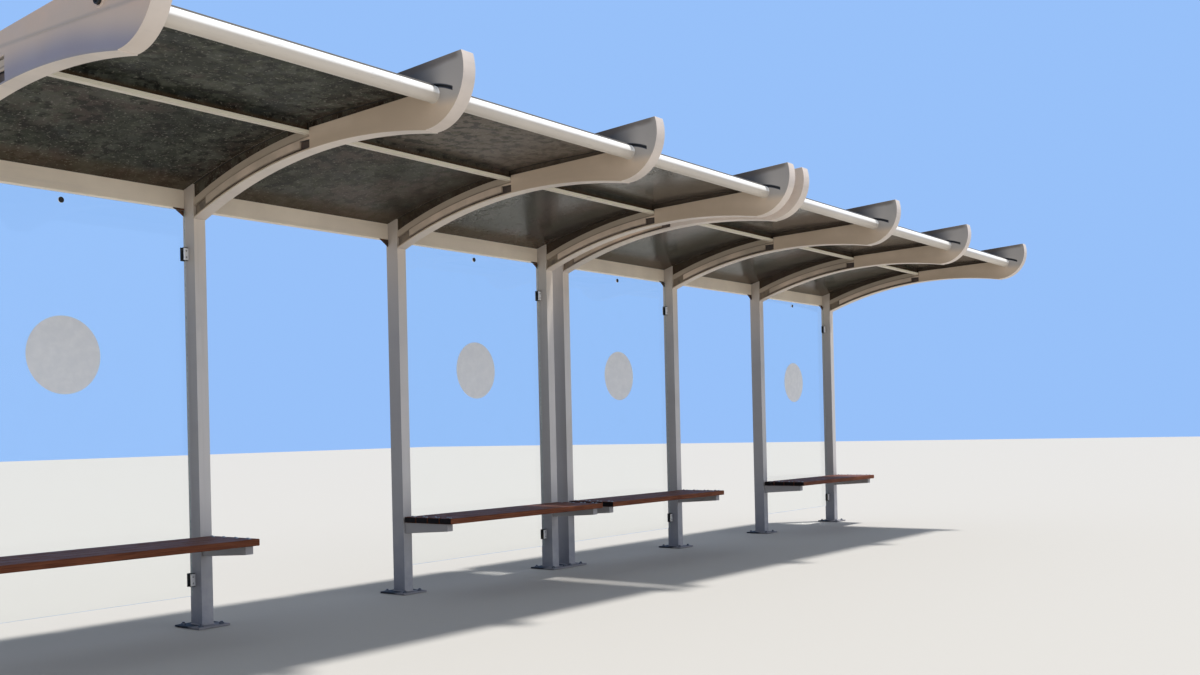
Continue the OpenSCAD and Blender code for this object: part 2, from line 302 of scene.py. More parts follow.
def streaks_group():
    inputs = [("Vector", VECTOR, None), ("Stretch", VECTOR, (30, 30, 1)),
              ("Low", NUMBER, 0.5), ("High", NUMBER, 0.7)]
    group, start, end = start_group("streaks", inputs, "Mask")
    drawn_out = new_node("ShaderNodeVectorMath", start["Vector"])
    drawn_out.operation = "MULTIPLY"
    plug(start["Vector"], drawn_out.inputs[0])
    plug(start["Stretch"], drawn_out.inputs[1])
    lines = noise(drawn_out.outputs[0], 1.0, detail=4.0, roughness=0.6)
    plug(ramp(lines, start["Low"], start["High"]), end["Mask"])
    return group


def settled_dust_group():
    inputs = [("Vector", VECTOR, None), ("Scale", NUMBER, 6.0)]
    group, start, end = start_group("settled_dust", inputs, "Mask")
    upward = ramp(facing(start["Vector"])["Z"], 0.55, 0.95)
    patchy = ramp(noise(start["Vector"], start["Scale"], detail=5.0), 0.25, 0.7)
    plug(times(upward, patchy), end["Mask"])
    return group


def orange_peel_group():
    inputs = [("Vector", VECTOR, None), ("Scale", NUMBER, 420.0), ("Depth", NUMBER, 0.0002)]
    group, start, end = start_group("orange_peel", inputs, "Normal", VECTOR)
    bump = group.nodes.new("ShaderNodeBump")
    bump.inputs["Strength"].default_value = 0.6
    plug(start["Depth"], bump.inputs["Distance"])
    plug(noise(start["Vector"], start["Scale"], detail=2.0), bump.inputs["Height"])
    plug(bump.outputs[0], end["Normal"])
    return group


EFFECTS = {group.name: group for group in
           (blotches_group(), streaks_group(), settled_dust_group(), orange_peel_group())}


def effect(name, place, **values):
    node = new_node("ShaderNodeGroup", place)
    node.node_tree = EFFECTS[name]
    plug(place, node.inputs["Vector"])
    for label, value in values.items():
        plug(value, node.inputs[label.capitalize()])
    return node.outputs[0]


def blotches(place, scale, low, high):
    return effect("blotches", place, scale=scale, low=low, high=high)


def peel(shader, place, **values):
    plug(effect("orange_peel", place, **values), shader["Normal"])


print("effects:", ", ".join(EFFECTS))

# %% [markdown]
# ## Frame paint
# The steelwork has a satin sand-coloured coat that weather has toned unevenly. The base tone, a
# second tone, faint streaks and dust are the same on every steel piece, so one function mixes
# them, and each paint then adds what is special to its own piece.

# %% Make the frame paint
SAND, SAND_GREY = (0.69, 0.60, 0.53), (0.59, 0.52, 0.47)
BEAM_SAND_LIT, BEAM_GREY_LIT = (0.84, 0.73, 0.59), (0.74, 0.64, 0.52)
RAIN_AND_SHADE_GREY, DUST = (0.30, 0.275, 0.25), (0.58, 0.51, 0.42)
ALONG_X, ALONG_Y, ALONG_Z = (1.2, 22, 22), (22, 1.5, 8), (30, 30, 0.9)


def side_facing(place):
    """How much a face looks along the shelter, from 0 to 1."""
    return unsigned(facing(place)["X"])


def weathered(place, colour, grey, streak, rain_amount=0.16):
    tone = blotches(place, 1.7, 0.38, 0.64)
    rain = effect("streaks", place, stretch=streak, low=0.50, high=0.78)
    dust = effect("settled_dust", place, scale=7.0)
    colour = blend(tone, colour, grey)
    colour = blend(times(rain, rain_amount), colour, RAIN_AND_SHADE_GREY)
    return blend(times(dust, 0.6), colour, DUST)


def satin(shader, place, roughness):
    """Satin gloss that changes a little from place to place, over a faint orange peel."""
    gloss = plus(times(noise(place, 9.0, detail=5.0), 0.24), roughness - 0.12)
    plug(gloss, shader["Roughness"])
    peel(shader, place)
    return gloss


def frame_paint(shader, place, colour, grey):
    plug(weathered(place, colour, grey, ALONG_X), shader["Base Color"])
    satin(shader, place, 0.46)


make("frame", "sand_paint", frame_paint, SAND, SAND_GREY)
# The beam paint is the same sand paint made paler: painted light, for the brighter light on the
# beams.
make("beam", "beam_paint_lit", frame_paint, BEAM_SAND_LIT, BEAM_GREY_LIT)

# %% [markdown]
# ## Paint on the posts
# The posts are greyer than the ribs. Rain has drawn fine vertical streaks on them. The foot is
# painted darker and cooler, partly splash dirt and partly painted shade, and the sides that look
# along the shelter are painted darker as shade. The back of each base plate is painted nearly
# black as shade. Masks from height and direction put all of this in the right places at any
# distance, which a painted image can't.

# %% Make the post paint
POST_WARM, POST_GREY = (0.74, 0.64, 0.54), (0.575, 0.55, 0.54)
SIDE_SHADE, SPLASH_AND_SHADE = (0.20, 0.195, 0.215), (0.17, 0.185, 0.24)
PLATE_GREY, PLATE_SHADE_BLACK = (0.21, 0.205, 0.225), (0.012, 0.011, 0.013)
WARM_ABOVE, GREY_BELOW, SPLASH_AND_SHADE_HEIGHT, PLATE_TOP = 2.35, 1.6, 0.75, 0.0105


def post_paint(shader, place):
    part = axes(place)
    grey = ramp(part["Z"], WARM_ABOVE, GREY_BELOW)
    colour = blend(grey, POST_WARM, POST_GREY)
    toned = blend(times(blotches(place, 2.1, 0.4, 0.7), 0.35), colour, RAIN_AND_SHADE_GREY)
    colour = weathered(place, colour, toned, ALONG_Z, rain_amount=0.20)
    # Painted shade: faces that look along the shelter are darker, more so lower down.
    side_shade_amount = plus(times(grey, 0.20), times(ramp(part["Z"], 1.9, 1.1), 0.15))
    colour = blend(times(side_facing(place), plus(0.32, side_shade_amount)), colour, SIDE_SHADE)
    # Splash dirt and painted cool shade: the foot turns darker and bluer towards the ground.
    ragged = ramp(noise(place, 9.0, detail=6.0, roughness=0.62), 0.2, 0.75)
    splash_and_shade = times(ramp(part["Z"], SPLASH_AND_SHADE_HEIGHT, 0.0), plus(0.45, times(ragged, 0.35)))
    colour = blend(splash_and_shade, colour, SPLASH_AND_SHADE)
    # Painted shade: the back of each base plate is nearly black.
    at_back = ramp(plus(part["Y"], times(ragged, 0.05)), -0.02, 0.03)
    plate = blend(at_back, PLATE_GREY, PLATE_SHADE_BLACK)
    colour = blend(ramp(part["Z"], PLATE_TOP + 0.001, PLATE_TOP), colour, plate)
    plug(colour, shader["Base Color"])
    gloss = satin(shader, place, 0.48)
    plug(plus(gloss, times(ramp(part["Z"], 0.03, 0.01), 0.35)), shader["Roughness"])


make("post", "post_paint", post_paint)

# %% [markdown]
# ## Paint on the rib plates
# The side plates of the ribs show more. On the outer face of an end rib the coat is painted warm
# near the top as warm light, crosses a soft seam, and is painted cool towards the lower edge as
# shade, with a painted shadow just over the flange. Above the roof sheet a plate is painted grey
# as shade, nearly black as deeper shade at the back, and brown along its top edge. These marks
# follow the curve of the rib, so their mask is the distance from the centre of the rib's own
# arch, worked out from Y and Z. The recessed web between flange and channel is painted dark as
# shade.

# %% Make the rib paints
ARCH_Y, ARCH_CENTRE_Z, ARCH_R = -1.217, -0.776, 3.190
WARM_LIGHT_TOP, PLATE_MIDDLE, COOL_SHADE_LOW = (0.72, 0.50, 0.375), (0.58, 0.465, 0.385), (0.29, 0.265, 0.315)
NOSE_SAND, NOSE_BROWN = (0.70, 0.565, 0.44), (0.60, 0.475, 0.36)
FIN_SHADE_GREY, FIN_SHADE_BLACK, FIN_BROWN = (0.37, 0.35, 0.335), (0.030, 0.029, 0.034), (0.13, 0.095, 0.065)
WEB_SHADE_BACK, WEB_SHADE_FRONT = (0.25, 0.19, 0.135), (0.105, 0.075, 0.06)
FIN_BACK_Y, FIN_FRONT_Y = -1.70, -1.95
SEAM_BACK, SEAM_FRONT = Vector((0, -1.176, 2.545)), Vector((0, -1.760, 2.519))
NOSE_Y, TIP_Z, TOP_SLOPE = -2.042, 2.674, -0.092
SHEET_Y, SHEET_Z, SHEET_R, SHEET_T = -1.300, 2.549, 4.720, 0.008
LIP_Y, LIP_R, SLOT_MIDDLE = -1.800, 0.420, 0.004


def outside_arc(part, centre_y, centre_z, radius):
    """Distance from an arc in the side view, above zero on its outer side."""
    along, up = minus(part["Y"], centre_y), minus(part["Z"], centre_z)
    return minus(maths("SQRT", plus(times(along, along), times(up, up))), radius)


def depth_in_rib(place):
    """Distance over the lower edge of the rib, measured square to its arch."""
    return outside_arc(axes(place), ARCH_Y, ARCH_CENTRE_Z, ARCH_R)


def over_line(place, point, slope):
    """Height over a straight line in the side view, which goes through a point."""
    part = axes(place)
    return minus(part["Z"], maths("MULTIPLY_ADD", part["Y"], slope, point.z - point.y * slope))


def outer_rib_paint(shader, place):
    edge_depth = depth_in_rib(place)
    depth = minus(edge_depth, times(noise(place, 1.7, detail=2.0), 0.06))
    # Painted warm light near the top of the plate.
    colour = blend(ramp(depth, 0.17, 0.08), WARM_LIGHT_TOP, PLATE_MIDDLE)
    colour = weathered(place, colour, PLATE_MIDDLE, ALONG_Y)
    # Painted cool shade towards the lower edge, and a painted soft shadow just over the flange.
    colour = blend(ramp(depth, 0.10, -0.02), colour, COOL_SHADE_LOW)
    colour = blend(times(ramp(edge_depth, 0.016, 0.004), 0.35), colour, RAIN_AND_SHADE_GREY)
    slope = (SEAM_BACK.z - SEAM_FRONT.z) / (SEAM_BACK.y - SEAM_FRONT.y)
    off_seam = unsigned(over_line(place, SEAM_BACK, slope))
    colour = blend(times(ramp(off_seam, 0.015, 0.0), 0.45), colour, RAIN_AND_SHADE_GREY)
    plug(colour, shader["Base Color"])
    satin(shader, place, 0.44)


def slot_shade(part):
    """The mask of the slot in the fin that takes the front lip of a roof sheet, painted black as
    the shade inside it.
    """
    outside_lip = outside_arc(part, LIP_Y, SHEET_Z - LIP_R, LIP_R)
    off_middle = unsigned(minus(outside_lip, SLOT_MIDDLE))
    length = times(ramp(part["Y"], -1.978, -1.972), ramp(part["Y"], LIP_Y, LIP_Y - 0.04))
    return times(ramp(off_middle, 0.0105, 0.0075), length)


def fin_paint(shader, place):
    part = axes(place)
    # Painted shade: the nose plate turns browner towards the lower edge.
    low = ramp(depth_in_rib(place), 0.08, 0.02)
    colour = weathered(place, blend(low, NOSE_SAND, NOSE_BROWN), NOSE_BROWN, ALONG_Y)
    # Painted shade: grey over the sheet and beside the nose, and nearly black in patches towards
    # the back.
    over_sheet = ramp(part["Z"], 2.540, 2.552)
    near_nose = times(ramp(part["Z"], 2.435, 2.495), ramp(part["Y"], -1.85, -1.90))
    colour = blend(times(larger(over_sheet, near_nose), 0.85), colour, FIN_SHADE_GREY)
    ragged = ramp(noise(place, 5.0, detail=6.0, roughness=0.6), 0.2, 0.7)
    back = ramp(part["Y"], FIN_FRONT_Y, FIN_BACK_Y)
    painted_shade = times(times(over_sheet, back), plus(times(ragged, 0.25), 0.75))
    colour = blend(painted_shade, colour, FIN_SHADE_BLACK)
    under_top = over_line(place, Vector((0, NOSE_Y, TIP_Z)), TOP_SLOPE)
    edge = ramp(plus(under_top, times(ragged, 0.012)), -0.030, -0.004)
    edge = times(edge, times(over_sheet, ramp(part["Y"], -2.035, -1.99)))
    colour = blend(times(edge, 0.7), colour, FIN_BROWN)
    plug(blend(slot_shade(part), colour, FIN_SHADE_BLACK), shader["Base Color"])
    satin(shader, place, 0.50)


def shaded_web_paint(shader, place):
    # Painted shade in the recess: brown at the back, nearly black towards the front, with black
    # patches.
    colour = blend(ramp(axes(place)["Y"], -0.55, -0.95), WEB_SHADE_BACK, WEB_SHADE_FRONT)
    patch = blotches(place, 15.0, 0.4, 0.65)
    plug(blend(times(patch, 0.5), colour, FIN_SHADE_BLACK), shader["Base Color"])
    satin(shader, place, 0.62)


make("outer plate", "outer_plate_paint", outer_rib_paint)
make("fin plate", "fin_plate_paint", fin_paint)
make("web", "web_painted_shade", shaded_web_paint)

# %% [markdown]
# ## Paint on the channels
# The folded channel and the strip above it sit in the shade of the roof. They are browner, painted
# shade lies in the fold between them and along the lower edge, and the strip is the darker one. The
# same distance over the rib's lower edge tells the bands apart.

# %% Make the channel paint
CHANNEL_SAND, STRIP_OLIVE = (0.75, 0.595, 0.475), (0.47, 0.385, 0.30)
CREASE_SHADE, FOLD_DEPTH = (0.10, 0.07, 0.045), 0.0655


def channel_paint(shader, place):
    depth = depth_in_rib(place)
    colour = blend(ramp(depth, 0.058, 0.070), CHANNEL_SAND, STRIP_OLIVE)
    colour = weathered(place, colour, STRIP_OLIVE, ALONG_Y)
    # Painted shade in the fold and along the lower edge, over the flange.
    in_fold = ramp(unsigned(minus(depth, FOLD_DEPTH)), 0.006, 0.001)
    painted_shade = larger(in_fold, ramp(depth, 0.028, 0.021))
    cloud = plus(times(noise(place, 20.0), 0.5), 0.3)
    plug(blend(times(painted_shade, cloud), colour, CREASE_SHADE), shader["Base Color"])
    satin(shader, place, 0.50)


make("channel", "channel_paint", channel_paint)

# %% [markdown]
# ## Paint on tubes, arms and gussets
# The front tube and the purlins are paler than the ribs, with short dark dashes where drops
# hang. The upper half of the tube is painted near white as sunlight, and the purlins are painted
# brighter on their front as light. The bench arms are plain grey. The small gussets under the rear
# beam are painted nearly black all over as shade, and two noises lay brown patches on them and
# make the surface rough.

# %% Make the tube, arm and gusset paints
PALE_SAND, PALE_GREY, PAINTED_SUN_WHITE = (0.60, 0.545, 0.48), (0.54, 0.49, 0.435), (0.90, 0.89, 0.87)
PURLIN_FRONT_LIT, PURLIN_UNDER = (0.92, 0.86, 0.71), (0.62, 0.56, 0.47)
TUBE_LOW, TUBE_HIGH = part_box("front_tube_1")
TUBE_MIDDLE_Z = (TUBE_LOW.z + TUBE_HIGH.z) / 2
ARM_GREY = (0.30, 0.285, 0.29)
GUSSET_SHADE_DARK, GUSSET_BROWN = (0.035, 0.017, 0.011), (0.19, 0.065, 0.026)


def tube_paint(shader, place):
    part = axes(place)
    colour = weathered(place, PALE_SAND, PALE_GREY, (3.0, 40, 40))
    # Painted sunlight: the upper half of the tube is near white.
    sunny = ramp(part["Z"], TUBE_MIDDLE_Z - 0.006, TUBE_MIDDLE_Z + 0.004)
    colour = blend(sunny, colour, PAINTED_SUN_WHITE)
    # Painted light: the purlin is brighter on the faces that look to the street.
    purlin = blend(ramp(facing(place)["Y"], -0.3, -0.7), PURLIN_UNDER, PURLIN_FRONT_LIT)
    colour = blend(ramp(part["Y"], -1.3, -1.2), colour, purlin)
    dashes = effect("streaks", place, stretch=(9.0, 120, 120), low=0.62, high=0.70)
    plug(blend(times(dashes, 0.35), colour, RAIN_AND_SHADE_GREY), shader["Base Color"])
    satin(shader, place, 0.40)


def arm_paint(shader, place):
    worn = blotches(place, 14.0, 0.55, 0.75)
    colour = blend(times(worn, 0.4), ARM_GREY, RAIN_AND_SHADE_GREY)
    plug(colour, shader["Base Color"])
    satin(shader, place, 0.48)


def gusset_paint(shader, place):
    # Painted shade: the gussets are nearly black all over, with brown patches.
    brown_patches = blotches(place, 16.0, 0.40, 0.56)
    depth = blotches(place, 60.0, 0.4, 0.65)
    patch_colour = blend(depth, GUSSET_SHADE_DARK, GUSSET_BROWN)
    plug(blend(brown_patches, GUSSET_SHADE_DARK, patch_colour), shader["Base Color"])
    plug(plus(times(brown_patches, 0.35), 0.5), shader["Roughness"])
    peel(shader, place, scale=180.0, depth=0.0008)


make("tube", "pale_tube_paint", tube_paint)
make("arm", "grey_arm_paint", arm_paint)
make("gusset", "shaded_gusset_paint", gusset_paint)

# %% [markdown]
# ## Roof sheet
# The sheets are dark and smoked. From below they show years of dried drops: olive, slate and
# brown patches, pale specks and soot, the most in the first two bays. They are browner beside
# the ribs and the purlin, where dirt stays, and hazy from the second bay on. From above, dust
# makes them dull. The patches are noises of different size, and the edge mask is the distance
# from the nearest rib, found by folding X. The gloss is low, or the pale floor would wash it out.

# %% Make the roof sheet material
OLIVE, SLATE, BROWN = (0.023, 0.026, 0.019), (0.027, 0.030, 0.031), (0.060, 0.041, 0.036)
DRIED, GRIT, SOOT_AND_SHADE = (0.100, 0.106, 0.086), (0.26, 0.25, 0.21), (0.006, 0.006, 0.005)
EDGE_DIRT, HAZE = (0.085, 0.050, 0.022), (0.150, 0.120, 0.098)
SKY_DUST, TRIM = (0.20, 0.185, 0.155), (0.17, 0.16, 0.15)
BAY, GROUP_START, PURLIN_Y, JOINT_AT = 1.5, 4.696, -0.993, 0.0335
OLD_FROM, OLD_UNTIL, EDGE_Y = 1.8, 4.6, -1.822


def from_nearest_rib(x):
    local = minus(x, times(maths("GREATER_THAN", x, GROUP_START - 0.1), GROUP_START))
    inside = maths("MODULO", local, BAY)
    return maths("MINIMUM", inside, minus(BAY, inside))


def sheet_tones(place, from_rib):
    """The colour of the sheet itself: olive and slate, and brown beside the ribs."""
    brown = ramp(minus(BAY / 2, from_rib), 0.42, 0.70)
    brown = larger(blotches(place, 2.1, 0.50, 0.60), times(brown, 0.7))
    cool = blotches(place, 3.7, 0.50, 0.62)
    return blend(times(brown, 0.8), blend(times(cool, 0.6), OLIVE, SLATE), BROWN)


def haze_mask(part):
    """Haze from the second bay on, thickest in front of the purlin and in that bay."""
    in_front = plus(times(ramp(part["Y"], -0.95, -1.10), 0.72), 0.10)
    second_bay = plus(times(ramp(part["X"], 3.1, 2.9), 0.5), 0.5)
    return times(times(ramp(part["X"], 1.45, 1.65), in_front), second_bay)


def sheet_edges(part, from_rib):
    """Brown dirt at the foot of the purlin's rest strip, along the ribs and at the back."""
    to_purlin = unsigned(minus(PURLIN_Y, part["Y"]))
    foot = times(ramp(to_purlin, 0.03, 0.02), ramp(part["Z"], 2.530, 2.506))
    beside_rib = times(ramp(from_rib, 0.10, 0.04), 0.35)
    return larger(larger(foot, beside_rib), times(ramp(part["Y"], -0.17, -0.05), 0.6))


def roof_sheet(shader, place):
    part = axes(place)
    from_rib = from_nearest_rib(part["X"])
    older = ramp(plus(part["X"], noise(place, 1.1)), OLD_UNTIL, OLD_FROM)
    old_part = plus(times(older, 0.8), 0.20)
    where = blotches(place, 4.5, 0.36, 0.58)
    film = times(times(blotches(place, 6.5, 0.46, 0.58), where), old_part)
    marks = times(times(blotches(place, 24.0, 0.49, 0.58), where), old_part)
    soot = times(blotches(place, 15.0, 0.50, 0.57), old_part)
    specks = times(blotches(place, 70.0, 0.58, 0.66), old_part)
    # Painted shade: black along the sheet's side edges in the rib's slot and where the sheet meets
    # the front tube.
    joint_shade = ramp(unsigned(minus(from_rib, JOINT_AT)), 0.0062, 0.0045)
    joint_shade = larger(joint_shade, ramp(part["Y"], -1.795, -1.815))
    dust = effect("settled_dust", place, scale=45.0)
    colour = blend(times(film, 0.5), sheet_tones(place, from_rib), DRIED)
    colour = blend(haze_mask(part), colour, HAZE)
    for mask, amount, tint in ((soot, 0.85, SOOT_AND_SHADE), (marks, 0.60, DRIED), (specks, 0.55, GRIT),
                               (sheet_edges(part, from_rib), 0.7, EDGE_DIRT),
                               (joint_shade, 0.9, SOOT_AND_SHADE), (dust, 0.6, SKY_DUST)):
        colour = blend(times(mask, amount), colour, tint)
    plug(blend(ramp(part["Y"], EDGE_Y, EDGE_Y - 0.008), colour, TRIM), shader["Base Color"])
    plug(plus(plus(times(marks, 0.3), 0.17), times(older, 0.38)), shader["Roughness"])
    shader["Specular IOR Level"].default_value = 0.14
    peel(shader, place, scale=14.0, depth=0.0006)


make("roof", "smoked_roof_sheet", roof_sheet)

# %% [markdown]
# ## Bench wood
# The slats are oiled hardwood, deep red brown on the street side and grey on top with dust and a
# painted sheen. Grain is noise drawn out along the slat and bent by a second noise. The sawn ends
# are almost black, partly because end grain drinks oil and dirt and partly as painted shade, so a
# mask picks the faces that look along the shelter.

# %% Make the bench wood
WOOD_RED, WOOD_DEEP = (0.205, 0.070, 0.033), (0.088, 0.028, 0.015)
WOOD_DUST_AND_SHEEN, END_GRAIN_AND_SHADE = (0.185, 0.105, 0.092), (0.008, 0.005, 0.005)


def bench_wood(shader, place):
    sway = times(noise(place, 2.4), 0.02)
    part = axes(place)
    bent = new_node("ShaderNodeCombineXYZ", place)
    plug(part["X"], bent.inputs["X"])
    plug(plus(part["Y"], sway), bent.inputs["Y"])
    plug(plus(part["Z"], sway), bent.inputs["Z"])
    grain = effect("streaks", bent.outputs[0], stretch=(5, 170, 170), low=0.32, high=0.72)
    board = effect("streaks", place, stretch=(0.7, 9.5, 0.0), low=0.35, high=0.65)
    colour = blend(grain, WOOD_RED, WOOD_DEEP)
    colour = blend(times(board, 0.35), colour, WOOD_DEEP)
    dust = effect("settled_dust", place, scale=9.0)
    # Dust and a painted sheen: the top faces turn grey.
    colour = blend(times(dust, 0.75), colour, WOOD_DUST_AND_SHEEN)
    # End grain and painted shade: the faces that look along the shelter are almost black.
    colour = blend(ramp(side_facing(place), 0.6, 0.9), colour, END_GRAIN_AND_SHADE)
    plug(colour, shader["Base Color"])
    plug(plus(times(grain, 0.18), 0.52), shader["Roughness"])
    shader["Specular IOR Level"].default_value = 0.08
    bump = new_node("ShaderNodeBump", grain)
    bump.inputs["Distance"].default_value = 0.0008
    plug(grain, bump.inputs["Height"])
    plug(bump.outputs[0], shader["Normal"])


make("wood", "oiled_bench_wood", bench_wood)

# %% [markdown]
# ## Glass, frosted film and clamps
# The back panes are clear float glass. Real glass throws almost no shadow, but a renderer that
# doesn't trace light through it draws a dark one, so for shadow rays the material turns
# transparent. A low index keeps its reflections as weak as they are in the picture. The ground
# edges show the green of the glass and scatter light, so they get a finish of their own. The
# film on each pane is a plain frosted disc: milky, rough and a little see-through. The clamp
# covers are painted nearly white: a painted reflection of the bright street in their polished
# metal.

# %% Make the glass, the film and the clamp finish
GLASS_TINT, GLASS_DUSTY, EDGE_GREEN = (0.98, 0.995, 0.99), (0.96, 0.975, 0.965), (0.25, 0.38, 0.34)
FILM, FILM_WHITE, FILM_OPACITY = (0.85, 0.865, 0.90), (0.93, 0.935, 0.95), 0.86
CLAMP_REFLECTION_WHITE, CLAMP_WORN = (0.95, 0.95, 0.96), (0.84, 0.84, 0.85)


def clear_glass(shader, place):
    film = blotches(place, 6.0, 0.45, 0.8)
    plug(blend(times(film, 0.4), GLASS_TINT, GLASS_DUSTY), shader["Base Color"])
    shader["Roughness"].default_value = 0.0
    shader["Transmission Weight"].default_value = 1.0
    shader["IOR"].default_value = 1.2
    nodes = place.id_data.nodes
    through = nodes.new("ShaderNodeBsdfTransparent")
    through.inputs["Color"].default_value = (*GLASS_TINT, 1)
    path = nodes.new("ShaderNodeLightPath").outputs
    mix = nodes.new("ShaderNodeMixShader")
    plug(larger(path["Is Shadow Ray"], path["Is Diffuse Ray"]), mix.inputs[0])
    plug(nodes["Principled BSDF"].outputs[0], mix.inputs[1])
    plug(through.outputs[0], mix.inputs[2])
    plug(mix.outputs[0], nodes["Material Output"].inputs["Surface"])


def glass_edge(shader, place):
    ground = blotches(place, 80.0, 0.4, 0.6)
    plug(blend(times(ground, 0.4), EDGE_GREEN, GLASS_TINT), shader["Base Color"])
    shader["Roughness"].default_value = 0.45
    shader["Alpha"].default_value = 0.55
    peel(shader, place, scale=900.0)


def frosted_film(shader, place):
    cloud = blotches(place, 22.0, 0.3, 0.8)
    plug(blend(times(cloud, 0.5), FILM, FILM_WHITE), shader["Base Color"])
    plug(plus(times(cloud, 0.06), FILM_OPACITY - 0.03), shader["Alpha"])
    shader["Roughness"].default_value = 0.65
    peel(shader, place, scale=900.0)


def clamp_finish(shader, place):
    worn = blotches(place, 40.0, 0.5, 0.75)
    # Painted reflection: the covers are nearly white, as their polished metal mirrors the bright
    # street.
    plug(blend(times(worn, 0.4), CLAMP_REFLECTION_WHITE, CLAMP_WORN), shader["Base Color"])
    peel(shader, place, scale=1200.0)
    plug(plus(times(worn, 0.10), 0.10), shader["Roughness"])
    shader["Metallic"].default_value = 0.25


make("glass", "clear_glass", clear_glass)
make("glass edge", "ground_glass_edge", glass_edge)
make("film", "frosted_film", frosted_film)
make("clamp", "polished_clamp", clamp_finish)

# %% [markdown]
# ## Rubber and galvanised fixings
# Gaskets, grommets and the clamps' pads are black rubber that has gone grey with dust. Bolts,
# nuts and screws are zinc coated: a metal whose crystals make it patchy, dulled by a thin film
# of dirt, and darkest near the ground.

# %% Make the rubber and the zinc
RUBBER, RUBBER_DUSTY = (0.016, 0.015, 0.013), (0.050, 0.044, 0.036)
ZINC_LIGHT, ZINC_DARK, OLD_ZINC = (0.46, 0.46, 0.45), (0.24, 0.24, 0.235), (0.13, 0.128, 0.135)


def rubber(shader, place):
    dusty = blotches(place, 12.0, 0.45, 0.75)
    plug(blend(dusty, RUBBER, RUBBER_DUSTY), shader["Base Color"])
    plug(plus(times(dusty, 0.2), 0.6), shader["Roughness"])
    peel(shader, place, scale=300.0)


def zinc(shader, place):
    crystal = blotches(place, 90.0, 0.4, 0.6)
    near_ground = ramp(axes(place)["Z"], 0.10, 0.06)
    colour = blend(near_ground, blend(crystal, ZINC_LIGHT, ZINC_DARK), OLD_ZINC)
    plug(colour, shader["Base Color"])
    plug(plus(times(crystal, 0.2), 0.35), shader["Roughness"])
    shader["Metallic"].default_value = 0.75
    peel(shader, place, scale=600.0)


make("rubber", "black_rubber", rubber)
make("zinc", "zinc_fixings", zinc)
print("materials:", len(MATERIALS))

# %% [markdown]
# ## Tools for pieces
# The frame's solids have razor edges, and real steel, wood and glass have none. A dressed copy
# of a node is merged, freed of needless triangles, and its edges are rounded with a bevel that
# is applied at once. It then stands for the node. Small parts start from a flat disc that is
# extruded and scaled ring by ring, the way a turned part is drawn, and are copied into place.

# %% Helpers for pieces
BEVEL_FROM, SMOOTH_BELOW = math.radians(30), math.radians(42)


def numbered(word, count):
    return ["%s_%d" % (word, number) for number in range(1, count + 1)]


def select_only(*pieces):
    bpy.ops.object.select_all(action="DESELECT")
    for piece in pieces:
        piece.select_set(True)
    bpy.context.view_layer.objects.active = pieces[0]


def edit(piece, mode, test):
    """Goes into edit mode with only those corners, edges or faces selected that pass a test."""
    select_only(piece)
    bpy.ops.object.mode_set(mode="EDIT")
    bpy.ops.mesh.select_mode(type=mode)
    bpy.ops.mesh.select_all(action="DESELECT")
    bpy.ops.object.mode_set(mode="OBJECT")
    mesh = piece.data
    for part in {"VERT": mesh.vertices, "EDGE": mesh.edges, "FACE": mesh.polygons}[mode]:
        part.select = test(part)
    bpy.ops.object.mode_set(mode="EDIT")


def edit_done():
    bpy.ops.object.mode_set(mode="OBJECT")


def apply_modifier(piece, kind, **settings):
    select_only(piece)
    bpy.ops.object.modifier_add(type=kind)
    modifier = piece.modifiers[-1]
    for name, value in settings.items():
        setattr(modifier, name, value)
    bpy.ops.object.modifier_apply(modifier=modifier.name)


def round_edges(piece, width, segments=2):
    if width > 0:
        apply_modifier(piece, "BEVEL", width=width, segments=segments, limit_method="ANGLE",
                       angle_limit=BEVEL_FROM, use_clamp_overlap=True)
    select_only(piece)
    bpy.ops.object.shade_smooth_by_angle(angle=SMOOTH_BELOW)
    apply_modifier(piece, "WEIGHTED_NORMAL", keep_sharp=True, weight=80)


def wear(piece, *names):
    """Gives a piece its materials, the first one on all faces."""
    piece.data.materials.clear()
    for name in names:
        piece.data.materials.append(MATERIALS[name])
    for face in piece.data.polygons:
        face.material_index = 0


def dressed(node_name, width, *materials, segments=2, merge_only=False):
    """A merged copy of a node with rounded edges, which stands for the node."""
    piece = bpy.data.objects.new(node_name + "_dressed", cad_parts[node_name].data.copy())
    bpy.context.collection.objects.link(piece)
    select_only(piece)
    bpy.ops.object.mode_set(mode="EDIT")
    bpy.ops.mesh.select_all(action="SELECT")
    bpy.ops.mesh.remove_doubles(threshold=1e-5)
    bpy.ops.mesh.dissolve_limited(angle_limit=math.radians(0.4))
    bpy.ops.object.mode_set(mode="OBJECT")
    wear(piece, *materials)
    if not merge_only:
        round_edges(piece, width, segments)
    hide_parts(node_name)
    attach(piece, "root")
    return piece


def stacked(name, finish, sides, *rings):
    """A turned part whose first ring lies on Z = 0. Each ring is a radius and a height."""
    bpy.ops.object.select_all(action="DESELECT")
    bpy.ops.mesh.primitive_circle_add(vertices=sides, radius=rings[0][0], fill_type="NGON")
    piece = bpy.context.object
    piece.name = name
    bpy.ops.object.mode_set(mode="EDIT")
    for (old_radius, old_height), (radius, height) in zip(rings, rings[1:]):
        rise = (0, 0, height - old_height)
        bpy.ops.mesh.extrude_region_move(TRANSFORM_OT_translate={"value": rise})
        size = radius / old_radius
        bpy.ops.transform.resize(value=(size, size, 1), center_override=(0, 0, 0))
    bpy.ops.mesh.select_all(action="SELECT")
    bpy.ops.mesh.normals_make_consistent(inside=False)
    bpy.ops.object.mode_set(mode="OBJECT")
    wear(piece, finish)
    return piece


